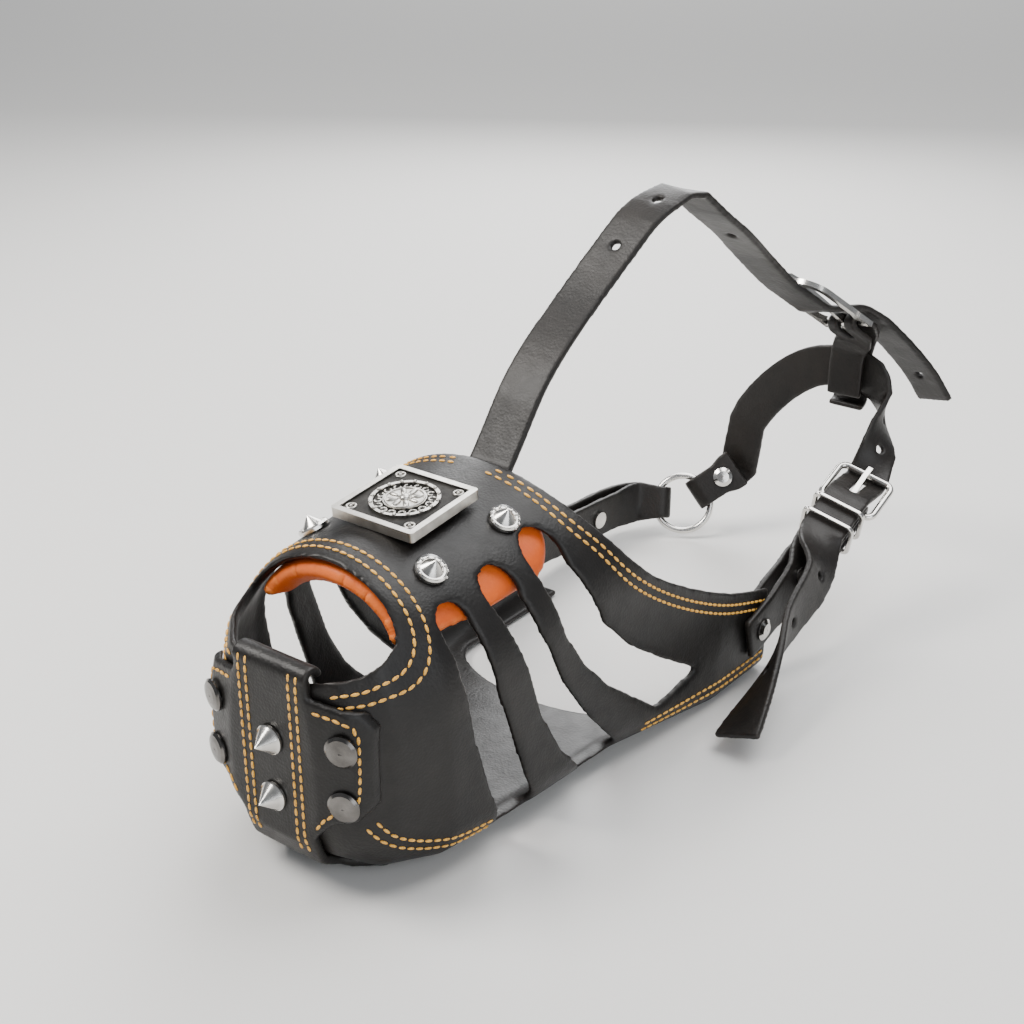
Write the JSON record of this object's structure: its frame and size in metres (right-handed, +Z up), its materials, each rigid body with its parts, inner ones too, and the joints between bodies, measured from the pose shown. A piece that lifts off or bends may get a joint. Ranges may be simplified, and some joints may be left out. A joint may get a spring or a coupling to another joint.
{
  "type": "leather basket muzzle",
  "caption": "Leather basket muzzle with vent slots, an open nose with a padded lining, a riveted front piece, an overhead strap, and a neck strap with buckles and a ring.",
  "frame": {"origin": "on the flat underside of the chin plate, on the basket's mirror plane, straight below the middle of the square ornament", "axes": "+Y from the nose back to the neck strap, +X to the dog's left, +Z up"},
  "size_m": [0.171, 0.3914, 0.2067],
  "materials": {
    "basket_leather": "black saddle leather with a satin, fine grain",
    "front_leather": "black saddle leather with a satin, fine grain",
    "strap_leather": "black strap leather, worn satin",
    "lining_leather": "bright orange soft leather",
    "antique_silver": "antiqued silver with dark recesses",
    "nickel": "polished nickel",
    "steel_backs": "plain steel"
  },
  "bodies": {
    "muzzle": {"basket_body": "basket_leather", "bridge_rivets": "nickel", "bridge_rivets_backs": "steel_backs", "chin_rivets": "nickel", "concho": "antique_silver", "concho_screw": "steel_backs", "far_tab": "strap_leather", "far_tab_rivets": "nickel", "front_piece": "front_leather", "front_spikes": "nickel", "front_spikes_backs": "steel_backs", "near_billet": "strap_leather", "near_billet_rivets": "nickel", "neck_strap": "strap_leather", "neck_strap_rivet": "nickel", "nose_pad": "lining_leather", "overhead_strap": "strap_leather", "side_buckle_frame": "nickel", "top_buckle_frame": "nickel", "top_loop": "strap_leather", "wing_rivets": "nickel", "wing_rivets_backs": "steel_backs"},
    "ring": {"o_ring": "nickel"},
    "side_prong": {"side_buckle_prong": "nickel"},
    "top_prong": {"top_buckle_prong": "nickel"},
    "rear_keeper": {"keeper_rear": "nickel"},
    "front_keeper": {"keeper_front": "nickel"}
  },
  "joints": [
    {"name": "ring_spin", "type": "hinge", "parent": "muzzle", "child": "ring", "pos_m": [-0.035, 0.255, 0.017], "axis": [0.4641, -0.7782, 0.4231], "continuous": true},
    {"name": "side_prong_lift", "type": "hinge", "parent": "muzzle", "child": "side_prong", "pos_m": [0.0665, 0.226, 0.054], "axis": [0.9617, 0.0794, -0.2625], "range_deg": [0, 8]},
    {"name": "top_prong_lift", "type": "hinge", "parent": "muzzle", "child": "top_prong", "pos_m": [0.043, 0.262, 0.127], "axis": [-0.9072, 0.3215, -0.2713], "range_deg": [0, 8]},
    {"name": "rear_keeper_slide", "type": "slide", "parent": "muzzle", "child": "rear_keeper", "axis": [0.03, 0.921, 0.3884], "range_m": [-0.0025, 0.0025]},
    {"name": "front_keeper_slide", "type": "slide", "parent": "muzzle", "child": "front_keeper", "axis": [0.03, 0.921, 0.3884], "range_m": [-0.0025, 0.0025]}
  ]
}
